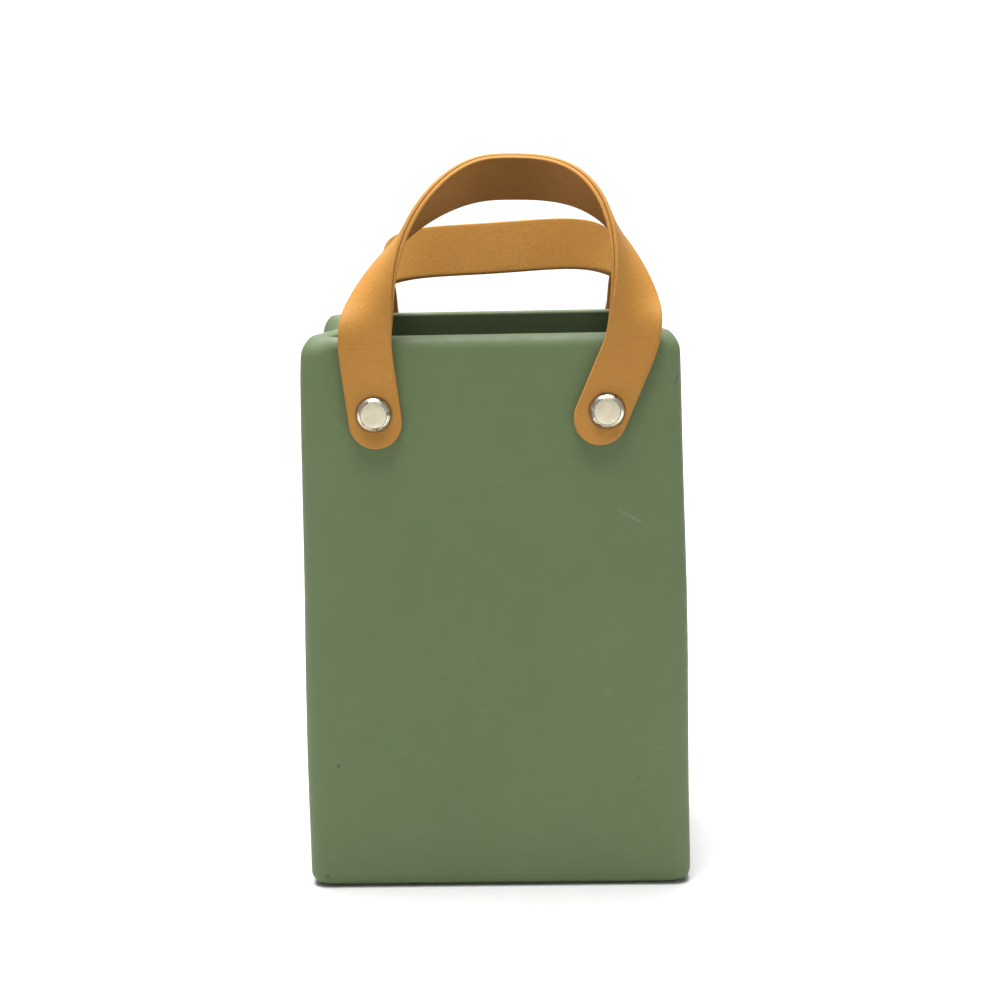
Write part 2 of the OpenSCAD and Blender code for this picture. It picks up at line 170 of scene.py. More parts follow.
class Shader:
    """A principled material with short ways to add nodes."""

    def __init__(self, name):
        self.material = bpy.data.materials.new(name)
        self.material.use_nodes = True
        self.tree = self.material.node_tree
        self.bsdf = self.tree.nodes["Principled BSDF"]
        self.position = self.node("ShaderNodeTexCoord").outputs["Object"]

    def node(self, kind, **settings):
        n = self.tree.nodes.new(kind)
        for key, value in settings.items():
            setattr(n, key, value)
        return n

    def link(self, a, b):
        self.tree.links.new(a, b)

    def feed(self, socket, value):
        if isinstance(value, bpy.types.NodeSocket):
            self.link(value, socket)
        else:
            socket.default_value = value

    def value(self, name, value):
        self.bsdf.inputs[name].default_value = value

    def place(self, where, scale=(1, 1, 1), location=(0, 0, 0), turn=(0, 0, 0), kind="POINT"):
        n = self.node("ShaderNodeMapping", vector_type=kind)
        self.link(where, n.inputs["Vector"])
        n.inputs["Location"].default_value = location
        n.inputs["Rotation"].default_value = turn
        n.inputs["Scale"].default_value = scale
        return n.outputs["Vector"]

    def noise(self, scale, detail=3.0, rough=0.5, where=None):
        n = self.node("ShaderNodeTexNoise")
        self.link(where or self.position, n.inputs["Vector"])
        n.inputs["Scale"].default_value = scale
        n.inputs["Detail"].default_value = detail
        n.inputs["Roughness"].default_value = rough
        return n.outputs["Fac"]

    def cells(self, scale, where=None):
        n = self.node("ShaderNodeTexVoronoi", feature="F1")
        self.link(where or self.position, n.inputs["Vector"])
        n.inputs["Scale"].default_value = scale
        return n.outputs["Distance"]

    def math(self, operation, a, b=0.0):
        n = self.node("ShaderNodeMath", operation=operation)
        self.feed(n.inputs[0], a)
        self.feed(n.inputs[1], b)
        return n.outputs[0]

    def times(self, a, b):
        return self.math("MULTIPLY", a, b)

    def length(self, x, y):
        """Distance from the origin to the point (x, y)."""
        return self.math("SQRT", self.math("ADD", self.times(x, x), self.times(y, y)))

    def split(self, vector):
        n = self.node("ShaderNodeSeparateXYZ")
        self.link(vector, n.inputs[0])
        return n.outputs

    def span(self, value, low, high, to_low=0.0, to_high=1.0):
        n = self.node("ShaderNodeMapRange", interpolation_type="SMOOTHSTEP")
        self.feed(n.inputs["Value"], value)
        for key, v in (("From Min", low), ("From Max", high), ("To Min", to_low), ("To Max", to_high)):
            n.inputs[key].default_value = v
        return n.outputs["Result"]

    def blend(self, amount, a, b):
        n = self.node("ShaderNodeMix", data_type="RGBA", blend_type="MIX")
        self.feed(n.inputs[0], amount)
        for socket, v in ((n.inputs[6], a), (n.inputs[7], b)):
            self.feed(socket, v if isinstance(v, bpy.types.NodeSocket) else (*v, 1.0))
        return n.outputs[2]

    def blob(self, centre, size, turn=0.0):
        """1 inside a small ellipsoid on the surface, fading to 0 at its edge. turn is about Y."""
        n = self.place(self.position, location=centre, turn=(0, turn, 0), scale=size, kind="TEXTURE")
        length = self.node("ShaderNodeVectorMath", operation="LENGTH")
        self.link(n, length.inputs[0])
        return self.span(length.outputs["Value"], 1.0, 0.55)

    def bump(self, height, strength, distance, under=None):
        n = self.node("ShaderNodeBump")
        n.inputs["Strength"].default_value = strength
        n.inputs["Distance"].default_value = distance
        self.feed(n.inputs["Height"], height)
        if under:
            self.link(under, n.inputs["Normal"])
        return n.outputs["Normal"]

    def finish(self, color, roughness, normal=None):
        self.feed(self.bsdf.inputs["Base Color"], color)
        self.feed(self.bsdf.inputs["Roughness"], roughness)
        if normal:
            self.link(normal, self.bsdf.inputs["Normal"])
        return self.material


def clay_material(name, shade):
    """Matt cast clay. shade darkens the whole colour; below 1 it is painted shade, as inside the vase."""

    def tone(*rgb):
        return tuple(shade * c for c in rgb)

    s = Shader(name)
    cloud = s.noise(14, 4, 0.55)
    mottle = s.noise(130, 3, 0.6)
    fine = s.noise(1500, 2, 0.6)
    color = s.blend(s.span(cloud, 0.3, 0.7), tone(*CLAY_TONE), tone(*CLAY_PATCH))
    color = s.blend(s.times(s.span(mottle, 0.35, 0.75), 0.3), color, tone(*CLAY_MOTTLE))
    # Pale scuffs: long thin streaks where a stretched noise peaks.
    streak = s.noise(60, 2, 0.5, where=s.place(s.position, scale=(1, 1, 7), turn=(0, 0.35, 0)))
    scuff = s.times(s.span(streak, 0.7, 0.76), s.span(mottle, 0.5, 0.7))
    scratch = s.times(s.blob(SCRATCH_AT, SCRATCH_SIZE, SCRATCH_TURN), s.span(fine, 0.35, 0.6))
    pale = s.math("MAXIMUM", s.times(scuff, 0.3), s.times(scratch, 0.4))
    color = s.blend(pale, color, tone(*CLAY_SCUFF))
    # Sparse dark pinholes in the casting, two larger specks and a hairline crack by the right edge.
    pin = s.times(s.span(s.cells(170), 0.055, 0.03), s.span(cloud, 0.5, 0.6))
    for centre in SPECKS_AT:
        pin = s.math("MAXIMUM", pin, s.blob(centre, SPECK_SIZE))
    crack = s.blob(CRACK_AT, CRACK_SIZE, CRACK_TURN)
    # A shallow dimple, its colour a crescent of painted shade: a round dent, less an equal one beside it.
    dent, beside = s.blob(DIMPLE_AT, DIMPLE_SIZE), s.blob(DIMPLE_AT + DIMPLE_SHIFT, DIMPLE_SIZE)
    dimple_shade = s.math("MAXIMUM", s.math("SUBTRACT", dent, beside), 0.0)
    dark = s.math("MAXIMUM", s.math("MAXIMUM", pin, crack), s.times(dimple_shade, 0.35))
    color = s.blend(s.times(dark, 0.8), color, tone(*CLAY_DARK))
    # Painted shade: the clay is painted a little darker along the very top of the rim, to tone down the top
    # light there.
    painted_rim_shade = s.span(s.split(s.position)["Z"], BODY_H - 3 * MM, BODY_H - 0.8 * MM)
    color = s.blend(s.times(painted_rim_shade, 0.5), color, tone(*CLAY_DARK))
    rough = s.span(s.noise(220, 2), 0.3, 0.7, 0.5, 0.62)
    normal = s.bump(s.noise(40, 2), 0.12, 1.2 * MM)
    normal = s.bump(mottle, 0.1, 0.5 * MM, under=normal)
    normal = s.bump(fine, 0.14, 0.12 * MM, under=normal)
    normal = s.bump(s.math("SUBTRACT", 1.0, dark), 0.4, 0.3 * MM, under=normal)
    s.value("Specular IOR Level", 0.3)
    return s.finish(color, rough, normal)


def leather_uv(s):
    """The strap's own map, then a point's place across it, along it, and from its nearer round end."""
    strap = s.node("ShaderNodeUVMap", uv_map="strap").outputs["UV"]
    ends = s.node("ShaderNodeUVMap", uv_map="ends").outputs["UV"]
    place = s.split(strap)
    return strap, place["X"], place["Y"], s.split(ends)["Y"]


def cap_shadow_ring(s):
    """1 where a painted shadow rings a stud's cap on the leather, fading out just beyond the cap."""
    place = s.split(s.position)
    x = s.math("SUBTRACT", s.math("ABSOLUTE", place["X"]), STUD_X)
    z = s.math("SUBTRACT", place["Z"], STUD_Z)
    return s.span(s.length(x, z), CAP_SHADOW_TO, CAP_SHADOW_FROM)


def leather_face_material():
    s = Shader("leather_face")
    uv, across, along, reach = leather_uv(s)
    cloud = s.noise(45, 3, 0.5)
    fibre = s.noise(1100, 4, 0.65, where=s.place(uv, scale=(0.5, 1, 1)))
    color = s.blend(s.span(cloud, 0.3, 0.7), FACE_TONE, FACE_PATCH)
    color = s.blend(s.times(s.span(fibre, 0.45, 0.7), 0.32), color, FACE_FIBRE)
    edge = s.span(s.math("ABSOLUTE", across), RUBBED_FROM, RUBBED_TO)
    color = s.blend(s.times(edge, 0.35), color, FACE_RUBBED)
    # A painted shadow round each cap, and one small dark spot.
    color = s.blend(s.times(cap_shadow_ring(s), 0.75), color, FACE_CAP_SHADOW)
    away = s.length(s.math("SUBTRACT", across, SPOT_AT[0]), s.math("SUBTRACT", along, SPOT_AT[1]))
    color = s.blend(s.times(s.span(away, SPOT_R, 0.25 * MM), 0.85), color, FACE_SPOT)
    # Soft cross-creases where the leather bends at the rim, bumped and darkened with painted shade.
    crease = s.noise(240, 2, 0.5, where=s.place(uv, scale=(0.22, 2.2, 1)))
    at_rim = s.times(s.span(reach, CREASE_START, CREASE_FULL), s.span(reach, CREASE_END, CREASE_EASE))
    folds = s.times(s.span(crease, 0.52, 0.66), at_rim)
    color = s.blend(s.times(folds, 0.1), color, FACE_CREASE_SHADE)
    grain = s.cells(1700, where=uv)
    pores = s.noise(2600, 3, 0.6, where=uv)
    wave = s.noise(90, 2, 0.5, where=s.place(uv, scale=(0.5, 1.2, 1)))
    normal = s.bump(wave, 0.2, 0.6 * MM)
    normal = s.bump(folds, 0.3, 0.2 * MM, under=normal)
    normal = s.bump(grain, 0.3, 0.18 * MM, under=normal)
    normal = s.bump(pores, 0.4, 0.13 * MM, under=normal)
    s.value("Specular IOR Level", 0.28)
    return s.finish(color, s.span(pores, 0.3, 0.7, 0.52, 0.68), normal)


def leather_edge_material():
    s = Shader("leather_edge")
    fibre = s.noise(1200, 4, 0.7)
    color = s.blend(s.span(fibre, 0.3, 0.7), EDGE_TONE, EDGE_FIBRE)
    normal = s.bump(fibre, 0.5, 0.2 * MM)
    s.value("Specular IOR Level", 0.25)
    return s.finish(color, s.span(fibre, 0.3, 0.7, 0.6, 0.8), normal)


def leather_groove_material():
    s = Shader("leather_groove")
    glue = s.noise(900, 3, 0.6)
    color = s.blend(s.span(glue, 0.3, 0.7), GLUE_TONE, GLUE_PATCH)
    return s.finish(color, s.span(glue, 0.3, 0.7, 0.7, 0.85), s.bump(glue, 0.4, 0.1 * MM))


def leather_lining_material():
    s = Shader("leather_lining")
    nap = s.noise(1600, 5, 0.7)
    cloud = s.noise(70, 3, 0.6)
    reach = leather_uv(s)[3]
    # Painted shade: darker under the top of the arch, and paler towards the legs.
    color = s.blend(s.span(reach, CROWN_FROM, LEG_FROM), LINING_CROWN_SHADE, LINING_LEG)
    color = s.blend(s.times(s.span(cloud, 0.3, 0.7), 0.3), color, LINING_PATCH)
    color = s.blend(s.times(s.span(nap, 0.45, 0.7), 0.4), color, LINING_NAP)
    normal = s.bump(nap, 0.5, 0.2 * MM)
    s.value("Specular IOR Level", 0.2)
    return s.finish(color, s.span(nap, 0.3, 0.7, 0.75, 0.9), normal)


def metal_material(name, color, low_rough, high_rough, scratch, facets=0.0):
    """Bare metal. facets is how strongly the broken, darker patches of a polished bevel show; these patches
    are a painted reflection.
    """
    s = Shader(name)
    smudge = s.noise(300, 4, 0.6)
    lines = s.noise(900, 2, 0.5, where=s.place(s.position, scale=(1, 1, 9), turn=(0, 0.6, 0)))
    tone = s.blend(s.span(smudge, 0.35, 0.7), color, tuple(SMUDGE_SHADE * c for c in color))
    if facets:
        # Painted reflection: broken dark patches on the polished bevel.
        reflection_patch = s.span(s.noise(420, 1, 0.4), 0.54, 0.6)
        tone = s.blend(s.times(reflection_patch, facets), tone, DARK_FACET_REFLECTION)
    s.value("Metallic", 1.0)
    normal = s.bump(lines, scratch, 0.04 * MM)
    return s.finish(tone, s.span(smudge, 0.3, 0.7, low_rough, high_rough), normal)


def rubber_material():
    s = Shader("washer_rubber")
    dust = s.noise(1400, 3, 0.6)
    color = s.blend(s.span(dust, 0.4, 0.75), RUBBER_TONE, RUBBER_DUST)
    return s.finish(color, s.span(dust, 0.3, 0.7, 0.7, 0.85), s.bump(dust, 0.4, 0.1 * MM))


CLAY = clay_material("clay", 1.0)
# The inside of the vase gets the same clay, darkened by INSIDE_SHADE as painted shade.
CLAY_INSIDE_SHADED = clay_material("clay_inside_painted_shade", INSIDE_SHADE)
LEATHER_FACE = leather_face_material()
LEATHER_EDGE = leather_edge_material()
LEATHER_GROOVE = leather_groove_material()
LEATHER_LINING = leather_lining_material()
POLISHED = metal_material("stud_polished", BEVEL_COLOR, 0.26, 0.36, 0.15, facets=0.75)
TARNISH = metal_material("stud_tarnish", TARNISH_COLOR, 0.4, 0.55, 0.2)
SATIN = metal_material("stud_satin", SATIN_COLOR, 0.38, 0.5, 0.3)
STEEL = metal_material("screw_steel", STEEL_COLOR, 0.3, 0.45, 0.3)
RUBBER = rubber_material()


# ---- ceramic body ----
# Fineness of the body's mesh: steps along each stretch of an outline, and levels up each wall.
CORNER_STEPS, LONG_STEPS, FOLD_STEPS = 8, 56, 44
ROUND_STEPS, OUTER_LEVELS, INNER_LEVELS = 8, 84, 60
# The casting's unevenness: its depth, how fast it varies, and where it fades out.
WAVE, WAVE_ACROSS, WAVE_UP = 0.35 * MM, 18, 16
WAVE_FOOT, WAVE_RIM = 30 * MM, 12 * MM


def half_width(z):
    return (BASE_W + (RIM_W - BASE_W) * z / BODY_H) / 2 + SIDE_BULGE * math.sin(math.pi * z / BODY_H)


def half_depth(z):
    return (BASE_D + (RIM_D - BASE_D) * z / BODY_H) / 2


def crease(y):
    return np.sqrt(y * y + GUSSET_SOFT**2) - GUSSET_SOFT


def outline(z, inset):
    """A level outline of the body, anticlockwise from above, with folded sides."""
    hw, hd = half_width(z) - inset, half_depth(z) - inset
    r = max(CORNER_R - inset, INNER_CORNER_R)
    rise = max(0.0, (z - GUSSET_START) / (BODY_H - GUSSET_START))
    fold = GUSSET_IN * rise
    points = []

    def corner(cx, cy, start):
        for k in range(CORNER_STEPS + 1):
            a = math.radians(start + 90 * k / CORNER_STEPS)
            points.append((cx + r * math.cos(a), cy + r * math.sin(a)))

    def side(s):
        span = hd - r
        for k in range(1, FOLD_STEPS):
            y = s * span * (2 * k / FOLD_STEPS - 1)
            points.append((s * (hw - fold * (1 - crease(y) / crease(span))), y))

    def long_wall(s):
        for k in range(1, LONG_STEPS):
            points.append((-s * (hw - r) * (1 - 2 * k / LONG_STEPS), s * -hd))

    corner(-hw + r, -hd + r, 180)
    long_wall(1)
    corner(hw - r, -hd + r, 270)
    side(1)
    corner(hw - r, hd - r, 0)
    long_wall(-1)
    corner(-hw + r, hd - r, 90)
    side(-1)
    p = np.array(points)
    p[:, 0] -= REAR_RIGHT_IN * rise * smooth(p[:, 0] / hw) * smooth(p[:, 1] / hd)
    return p


def body_profile():
    """(height, inset) levels: up the outside from the foot, over the rim and down the inside."""
    quarter = [math.pi / 2 * k / ROUND_STEPS for k in range(ROUND_STEPS + 1)]
    outer_top = BODY_H - RIM_OUTER_R
    inner_top = BODY_H - RIM_INNER_R
    foot = [(FOOT_R * (1 - math.cos(a)), FOOT_R * (1 - math.sin(a))) for a in quarter]
    outside = [(z, 0.0) for z in np.linspace(FOOT_R, outer_top, OUTER_LEVELS)[1:-1]]
    outer_rim = [
        (BODY_H - RIM_OUTER_R * (1 - math.sin(a)), RIM_OUTER_R * (1 - math.cos(a))) for a in quarter]
    inner_rim = [
        (BODY_H - RIM_INNER_R * (1 - math.cos(a)), WALL - RIM_INNER_R * (1 - math.sin(a)))
        for a in quarter[1:]]
    inside = [(z, WALL) for z in np.linspace(inner_top, FLOOR_T + COVE_R, INNER_LEVELS)[1:-1]]
    cove = [(FLOOR_T + COVE_R * (1 - math.sin(a)), WALL + COVE_R * (1 - math.cos(a))) for a in quarter]
    return foot + outside + outer_rim + inner_rim + inside + cove


def body_level(z, inset):
    """One level of the body: its outline, with the rim's rounding and the casting's unevenness."""
    p = outline(z, inset)
    from_corner_x = np.abs(p[:, 0]) - half_width(z)
    from_corner_y = np.abs(p[:, 1]) - half_depth(z)
    near_rim = smooth((z - BODY_H + RIM_ZONE) / RIM_ZONE)
    # The rim's rounding is larger at the four corners.
    share = smooth((from_corner_x + CORNER_ZONE) / CORNER_SOFT)
    share = share * smooth((from_corner_y + CORNER_ZONE) / CORNER_SOFT)
    on_outside = inset <= RIM_OUTER_R
    dip = share * CORNER_DROP * near_rim * (min(1, (BODY_H - z) / RIM_OUTER_R) if on_outside else 0)
    pull = share * CORNER_IN * near_rim * min(1, inset / RIM_OUTER_R)
    # The folded sides are thicker at the rim.
    thicker = SIDE_EXTRA * near_rim * min(1, max(0, inset - RIM_OUTER_R) / RIM_INNER_R)
    thicker = thicker * smooth((from_corner_x + SIDE_ZONE) / SIDE_SOFT)
    p = p - np.sign(p) * np.column_stack([pull + thicker, pull])
    # The casting's walls are a little uneven, except near the foot and the rim.
    free = smooth(z / WAVE_FOOT) * smooth((BODY_H - z) / WAVE_RIM)
    places = [Vector((x * WAVE_ACROSS, y * WAVE_ACROSS, z * WAVE_UP)) for x, y in p]
    wave = np.array([noise.noise(v) for v in places]) * WAVE * free
    return np.column_stack([p + unit_rows(p) * wave[:, None], z - dip])


def build_body():
    profile = body_profile()
    levels = [body_level(z, inset) for z, inset in profile]
    count = len(levels[0])
    under, over = len(levels) * count, len(levels) * count + 1
    verts = np.vstack([*levels, [[0, 0, 0.0], [0, 0, FLOOR_T]]])
    faces = grid_faces(len(levels), count)
    last = (len(levels) - 1) * count
    for j in range(count):
        k = (j + 1) % count
        faces.append((under, k, j))
        faces.append((over, last + j, last + k))
    body = mesh_object("vase_body", verts, faces, [CLAY, CLAY_INSIDE_SHADED])
    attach(body, "vase")
    # The clay darkened by painted shade is on the inner walls, and on the floor's half of the closing
    # triangles.
    first_inside = next(n for n, (z, inset) in enumerate(profile) if inset >= WALL)
    for n, poly in enumerate(body.data.polygons):
        on_inner_wall = first_inside * count <= n < last
        on_floor = n >= last and n % 2
        if on_inner_wall or on_floor:
            poly.material_index = 1
    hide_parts("ceramic_body")


# ---- leather straps ----
# Each handle's own sizes, the same as in part.scad. Pairs are left and right, but tilts low and top.
HANDLES = {
    "front": {
        "ends": (-36.5 * MM, 41 * MM), "height": 50.5 * MM, "lean": 21 * MM, "skew": 0 * MM,
        "tilts": (10, 56), "squares": (1.9, 3.4), "lates": (2, 1),
    },
    "rear": {
        "ends": (-39.5 * MM, 43 * MM), "height": 28 * MM, "lean": 38.5 * MM, "skew": 2 * MM,
        "tilts": (40, 78), "squares": (4.4, 4), "lates": (1, 1),
    },
}
STRAP_STEPS = 112
HEADING_STEP = math.radians(0.5)
LET_GO_SHARE = 0.25
# The visual mesh: its spacing along the strap, its softening, and the steps round each end.
# END_SHARE stops the last step just short of a quarter turn, so that its row keeps some width.
STEP = 1.0 * MM
SOFTEN_STEPS = 2.5
END_STEPS, END_SHARE = 14, 0.999
EDGE_R, GROOVE_R = 0.5 * MM, 0.32 * MM
DENT, DENT_R, DENT_SOFT = 0.22 * MM, 5.2 * MM, 2.2 * MM
# Places in a layer's list of finishes.
ON_FACE, ON_EDGE, ON_GROOVE = 0, 1, 2


def half_of(a):
    return 0 if a < math.pi / 2 else 1


def aim_x(k):
    """Where the middle of a strap's left (k = 0) or right (k = 1) flat end passes its stud."""
    return STUD_X - RIGHT_TAB_OFF if k else -STUD_X


def splay(h, k):
    """Sideways run of a strap end for each unit that it climbs."""
    return (h["ends"][k] - aim_x(k)) / (FOLD_Z - STUD_Z)


def climb(h, a):
    """Share of the arch's height at angle a, which runs from 0 at the left end to pi at the right one."""
    square = h["squares"][half_of(a)]
    return max(0.0, 1 - abs(math.cos(a)) ** square) ** (1 / square)


def free_share(h, z):
    """Share of the way from the rim to the top of the arch, at height z above the fold line."""
    return max(0.0, z - (BODY_H - FOLD_Z)) / (h["height"] - (BODY_H - FOLD_Z))


def middle_of_strap(h, a):
    """x, distance from the vase's mid plane, and height above the fold line."""
    k = half_of(a)
    share = climb(h, a)
    low, high = h["ends"]
    z = share * (h["height"] - h["skew"] * math.cos(a))
    x = (low + high - (high - low) * math.cos(a)) / 2 + splay(h, k) * z * (1 - share) ** 3
    let_go = smooth(free_share(h, z) / LET_GO_SHARE)
    return np.array([x, STRAP_Y - h["lean"] * max(0.0, math.sin(a)) ** h["lates"][k] * let_go, z])


def heading(h, a):
    if a <= 0:
        return unit_rows(np.array([splay(h, 0), 0, 1]))
    if a >= math.pi:
        return unit_rows(np.array([-splay(h, 1), 0, -1]))
    after, before = min(math.pi, a + HEADING_STEP), max(0.0, a - HEADING_STEP)
    return unit_rows(middle_of_strap(h, after) - middle_of_strap(h, before))


def strap_edges(handle, a):
    """The strap's left-hand and right-hand edges at angle a, in the same rule as part.scad."""
    h = HANDLES[handle]
    p = middle_of_strap(h, a)
    free = free_share(h, p[2])
    half_turn = math.pi / 2 * math.sin(math.pi / 2 * free) * smooth(free / LET_GO_SHARE)
    turn = math.pi - half_turn if half_of(a) else half_turn
    low, high = h["tilts"]
    tilt = math.radians(low + (high - low) * climb(h, a) ** 4)
    w = -FACES[handle] * np.array(
        [math.cos(turn), math.sin(turn) * math.cos(tilt), math.sin(turn) * math.sin(tilt)])
    reach = STRAP_W / 2 / np.linalg.norm(np.cross(w, heading(h, a)))
    return p - reach * w, p + reach * w


def gaussian_rows(a, sigma):
    """a smoothed along its rows. Straight runs keep their place, because the ends are extended straight."""
    reach = int(3 * sigma)
    head = [2 * a[0] - a[k] for k in range(reach, 0, -1)]
    tail = [2 * a[-1] - a[-1 - k] for k in range(1, reach + 1)]
    long = np.vstack([head, a, tail])
    weights = np.exp(-0.5 * (np.arange(-reach, reach + 1) / sigma) ** 2)
    weights /= weights.sum()
    return np.array([(weights[:, None] * long[i : i + 2 * reach + 1]).sum(0) for i in range(len(a))])


def strap_rails(handle):
    """The strap's two edges, evenly spaced, from the middle of one round end to the middle of the other."""
    face = FACES[handle]
    pairs = [strap_edges(handle, math.pi * smooth(i / STRAP_STEPS)) for i in range(STRAP_STEPS + 1)]
    left, right = (
        np.array([(p[k][0], face * p[k][1], FOLD_Z + p[k][2]) for p in pairs]) for k in (0, 1))

    def tab_pair(end, x):
        """The edges beside the centre of the round end, and half-way from there to the fold line."""
        fold = (left[end] + right[end]) / 2
        stud = np.array([x, face * STRAP_Y, STUD_Z])
        along = unit_rows(fold - stud)
        across = unit_rows(right[end] - left[end])
        across = unit_rows(across - along * (across @ along))
        centre = stud - (TAB_BELOW - STRAP_W / 2) * along
        pair = centre - across * STRAP_W / 2, centre + across * STRAP_W / 2
        return [pair, tuple((p + q) / 2 for p, q in zip(pair, (left[end], right[end])))]

    first, last = tab_pair(0, aim_x(0)), tab_pair(-1, aim_x(1))
    left = np.vstack([first[0][0], first[1][0], left, last[1][0], last[0][0]])
    right = np.vstack([first[0][1], first[1][1], right, last[1][1], last[0][1]])
    middle = (left + right) / 2
    run = np.concatenate([[0], np.cumsum(np.linalg.norm(np.diff(middle, axis=0), axis=1))])
    even = np.linspace(0, run[-1], int(run[-1] / STEP) + 1)
    left, right = (
        np.column_stack([np.interp(even, run, r[:, k]) for k in range(3)]) for r in (left, right))
    return gaussian_rows(left, SOFTEN_STEPS), gaussian_rows(right, SOFTEN_STEPS), even


def layer_section(low, high, low_r, high_r):
    """Half of a layer's cross-section, from the middle of its top face to the middle of its underside,
    as (share of the half-width, inset from the edge, height) rows."""
    rows = [(f, high_r, high) for f in np.linspace(0, 1, 9)]
    for a in np.linspace(0, math.pi / 2, 5)[1:]:
        rows.append((1, high_r * (1 - math.sin(a)), high - high_r * (1 - math.cos(a))))
    for a in np.linspace(0, math.pi / 2, 4):
        rows.append((1, low_r * (1 - math.cos(a)), low + low_r * (1 - math.sin(a))))
    rows += [(f, low_r, low) for f in np.linspace(1, 0, 5)[1:]]
    return rows


def finish_of(f, inset, h):
    """The finish at one point of a layer's section: the face, the cut edge, or the groove by the glue."""
    near_glue = min(abs(h - HALF_BOND), abs(h + HALF_BOND))
    if near_glue < 0.6 * GROOVE_R:
        return ON_GROOVE
    return ON_EDGE if abs(f) > 0.999 and inset < 0.7 * EDGE_R else ON_FACE


def dent_depth(p, studs):
    """How far a stud's cap presses the leather down at p."""
    away = min(np.linalg.norm(p - s) for s in studs)
    return DENT * math.exp(-(max(away - DENT_R, 0) / DENT_SOFT) ** 2)


def add_uv(mesh, name, values):
    loops = np.zeros(len(mesh.loops), int)
    mesh.loops.foreach_get("vertex_index", loops)
    mesh.uv_layers.new(name=name).data.foreach_set("uv", np.array(values)[loops].ravel())


def build_layer(handle, layer, low, high, low_r, high_r, materials, dented):
    """One leather layer, from end to end, between two heights over the strap's middle surface."""
    left, right, even = strap_rails(handle)
    middle = (left + right) / 2
    along = unit_rows(np.gradient(middle, axis=0))
    across = unit_rows(right - left)
    up = unit_rows(np.cross(across, along))
    half = np.linalg.norm(right - left, axis=1) / 2
    half_section = layer_section(low, high, low_r, high_r)
    section = [(-f, i, h) for f, i, h in half_section[::-1]] + half_section[1:-1]
    # Row by row: (index along the rails, angle into the round end).
    turns = [math.pi / 2 * (k + 1) / END_STEPS * END_SHARE for k in range(END_STEPS)]
    last = len(middle) - 1
    stops = [(0, -a) for a in turns[::-1]]
    stops += [(i, 0.0) for i in range(len(middle))]
    stops += [(last, a) for a in turns]
    studs = [np.array([s * STUD_X, FACES[handle] * STRAP_Y, STUD_Z]) for s in SIDES.values()]
    verts, places, reaches = [], [], []
    for i, angle in stops:
        for f, inset, h in section:
            r = half[i] - inset
            x, y = f * r * math.cos(angle), r * math.sin(angle)
            p = middle[i] + across[i] * x + along[i] * y
            pressed = dent_depth(p, studs) if dented and h > 0.6 * high else 0.0
            verts.append(p + up[i] * (h - pressed))
            places.append((x, even[i] + y))
            reaches.append((x, min(even[i] + y, even[-1] - even[i] - y)))
    count = len(section)
    faces = grid_faces(len(stops), count)
    faces.append(tuple(range(count))[::-1])
    faces.append(tuple((len(stops) - 1) * count + k for k in range(count)))
    obj = mesh_object(f"{handle}_leather_{layer}", verts, [f[::-1] for f in faces], materials)
    add_uv(obj.data, "strap", places)
    add_uv(obj.data, "ends", reaches)
    finishes = [finish_of(*point) for point in section]
    for poly in obj.data.polygons:
        if len(poly.vertices) == 4:
            corners = [finishes[v % count] for v in poly.vertices]
            poly.material_index = ON_GROOVE if ON_GROOVE in corners else min(corners)
    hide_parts(*(n for n in frame["nodes"] if n.startswith(handle) and n.endswith(layer)))
    return obj


def build_handle(handle):
    outer = build_layer(
        handle, "outer", HALF_BOND, LAYER_T, GROOVE_R, EDGE_R,
        [LEATHER_FACE, LEATHER_EDGE, LEATHER_GROOVE], dented=True)
    lining = build_layer(
        handle, "lining", -LAYER_T, -HALF_BOND, EDGE_R, GROOVE_R,
        [LEATHER_LINING, LEATHER_EDGE, LEATHER_GROOVE], dented=False)
    for obj, slot in ((outer, "leather_face"), (lining, "leather_lining")):
        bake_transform(obj)


# ---- studs ----
# A stud's cap: its radii, then its heights and depths, with a ring-shaped groove round the disc.
BORE_R, BARREL_R, CAP_R = 1.55 * MM, 2.5 * MM, 5 * MM
BEVEL_TOP_R, RING_OUT_R, RING_IN_R, DISC_R = 4.16 * MM, 3.98 * MM, 3.9 * MM, 3.7 * MM
BARREL_LOW, CAP_T, CAP_SIDE_T, CAP_SINK = -6.4 * MM, 1.8 * MM, 0.9 * MM, 0.15 * MM
CAP_SOFT, RING_DEEP, DISC_RISE = 0.12 * MM, 0.16 * MM, 0.02 * MM
SOFT_EDGE = 0.2 * MM
LATHE_STEPS = 64


def lathe(name, profile, materials, bands):
    """A turned piece about +Z from (radius, height) points. bands gives each profile span's material."""
    verts = []
    for r, z in profile:
        for k in range(LATHE_STEPS):
            a = 2 * math.pi * k / LATHE_STEPS
            verts.append((r * math.cos(a), r * math.sin(a), z))
    faces = grid_faces(len(profile), LATHE_STEPS)
    faces.append(tuple(range(LATHE_STEPS))[::-1])
    faces.append(tuple((len(profile) - 1) * LATHE_STEPS + k for k in range(LATHE_STEPS)))
    obj = mesh_object(name, verts, faces, materials)
    for n, poly in enumerate(obj.data.polygons):
        poly.material_index = bands[min(n // LATHE_STEPS, len(bands) - 1)]
    return obj


def seat_frame(face, side):
    """A stud's own frame: its origin where the strap meets the wall, its +Z outwards."""
    turn = Matrix.Rotation(-face * math.pi / 2, 4, "X")
    return Matrix.Translation((side * STUD_X, face * SEAT_Y, STUD_Z)) @ turn


